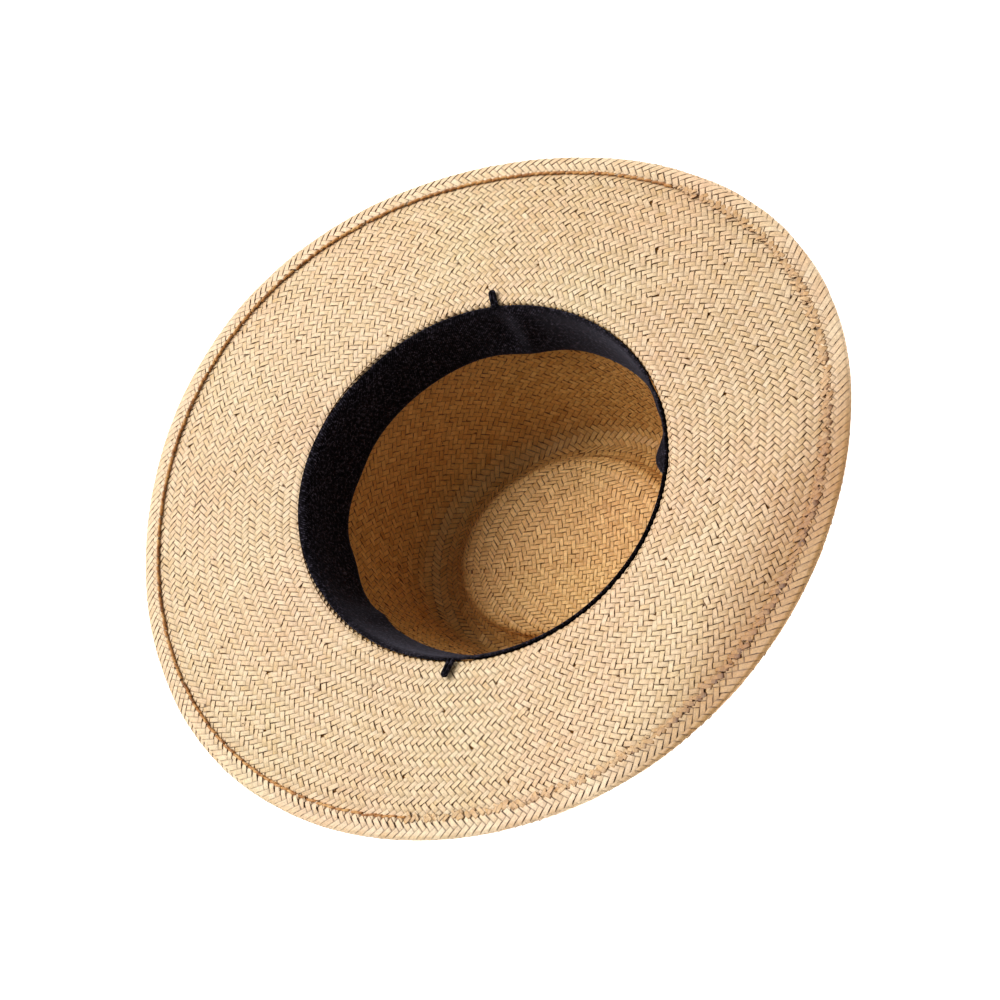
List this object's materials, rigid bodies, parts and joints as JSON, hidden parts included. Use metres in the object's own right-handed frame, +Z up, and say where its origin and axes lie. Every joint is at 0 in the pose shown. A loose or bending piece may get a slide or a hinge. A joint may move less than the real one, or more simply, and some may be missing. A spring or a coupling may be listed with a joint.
{
  "type": "straw fedora",
  "caption": "Woven straw fedora lying on its crown, wide soft brim with a turned hem, black cotton sweatband and side loops.",
  "frame": {"origin": "on the floor under the middle of the brim, with the hat lying on its crown", "axes": "+Z up out of the head opening, -X to the front of the hat, +X to the back where the sweatband is joined"},
  "size_m": [0.387, 0.3264, 0.1114],
  "materials": {
    "straw": "matte woven paper straw",
    "cotton": "matte black twill"
  },
  "bodies": {
    "root": {"crown": "straw", "brim": "straw", "sweatband": "cotton", "side_loop_left": "cotton", "side_loop_right": "cotton"}
  },
  "joints": []
}
